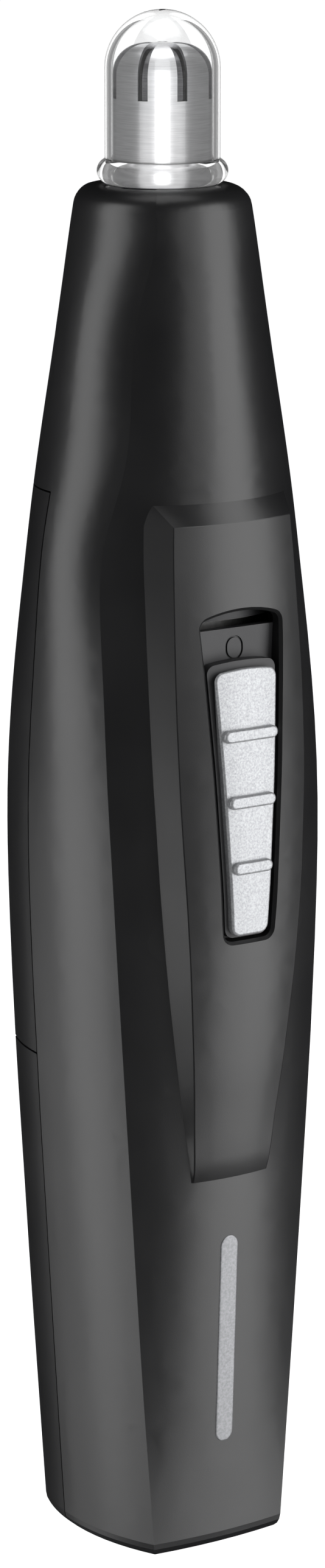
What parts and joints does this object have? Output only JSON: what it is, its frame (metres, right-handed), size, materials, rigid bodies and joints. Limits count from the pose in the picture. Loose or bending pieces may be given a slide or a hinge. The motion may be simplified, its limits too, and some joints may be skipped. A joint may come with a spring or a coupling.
{
  "type": "nose hair trimmer",
  "caption": "Slim battery-powered nose hair trimmer with a tapered body, sliding thumb switch, slotted tubular cutter head and clear cap.",
  "frame": {"origin": "centre of the flat base, on the surface it stands on", "axes": "+Z along the body from the base to the cap; the switch faces -Y; +X to the right when facing the switch"},
  "size_m": [0.0284, 0.0273, 0.147],
  "materials": {
    "black_plastic": "satin moulded black",
    "dark_insert_plastic": "matt dark grey",
    "silver_plastic": "fine metallic silver paint",
    "clear_plastic": "clear polystyrene, polished",
    "cutter_steel": "turned stainless steel",
    "plated_steel": "nickel plated",
    "seal_rubber": "matt",
    "white_acetal": "natural acetal",
    "contact_brass": "bright",
    "magnet_ferrite": "sintered",
    "armature_copper": "enamelled copper on laminated steel",
    "battery_wrap": "printed film",
    "lead_insulation": "red insulation"
  },
  "bodies": {
    "root": {"front_housing": "black_plastic", "rear_cover": "black_plastic", "switch_floor_plate": "dark_insert_plastic", "neck_bush": "white_acetal", "neck_gasket": "seal_rubber", "motor_can": "plated_steel", "motor_end_cap": "white_acetal", "motor_terminals": "contact_brass", "motor_magnets": "magnet_ferrite", "inner_chassis": "dark_insert_plastic", "chassis_screws": "plated_steel", "battery_cell": "battery_wrap", "battery_spring": "plated_steel", "spring_contact_plate": "plated_steel", "positive_contact_plate": "plated_steel", "negative_strip": "plated_steel", "positive_lead": "lead_insulation"},
    "battery_door": {"battery_cover": "black_plastic"},
    "switch": {"switch_button": "silver_plastic", "switch_slider": "dark_insert_plastic", "switch_bridge": "contact_brass"},
    "rotor": {"motor_shaft": "cutter_steel", "motor_armature": "armature_copper", "drive_coupling": "white_acetal", "drive_shaft": "cutter_steel", "blade_hub": "white_acetal", "inner_blade": "cutter_steel", "thrust_spring": "plated_steel"},
    "cutter_head": {"outer_cutter": "cutter_steel", "cutter_collar": "cutter_steel", "head_base": "dark_insert_plastic"},
    "cap": {"protective_cap": "clear_plastic"}
  },
  "joints": [
    {"name": "switch_slide", "type": "slide", "parent": "root", "child": "switch", "axis": [0, 0.0262, 0.9997], "range_m": [0, 0.0043]},
    {"name": "cutter_spin", "type": "hinge", "parent": "root", "child": "rotor", "pos_m": [0, 0, 0.12], "axis": [0, 0, 1], "continuous": true},
    {"name": "head_twist", "type": "hinge", "parent": "root", "child": "cutter_head", "pos_m": [0, 0, 0.13], "axis": [0, 0, 1], "range_deg": [0, 30]},
    {"name": "cap_pull", "type": "slide", "parent": "root", "child": "cap", "axis": [0, 0, 1], "range_m": [0, 0.017]},
    {"name": "battery_door_slide", "type": "slide", "parent": "root", "child": "battery_door", "axis": [0, 0.035, -0.9994], "range_m": [0, 0.048]}
  ]
}
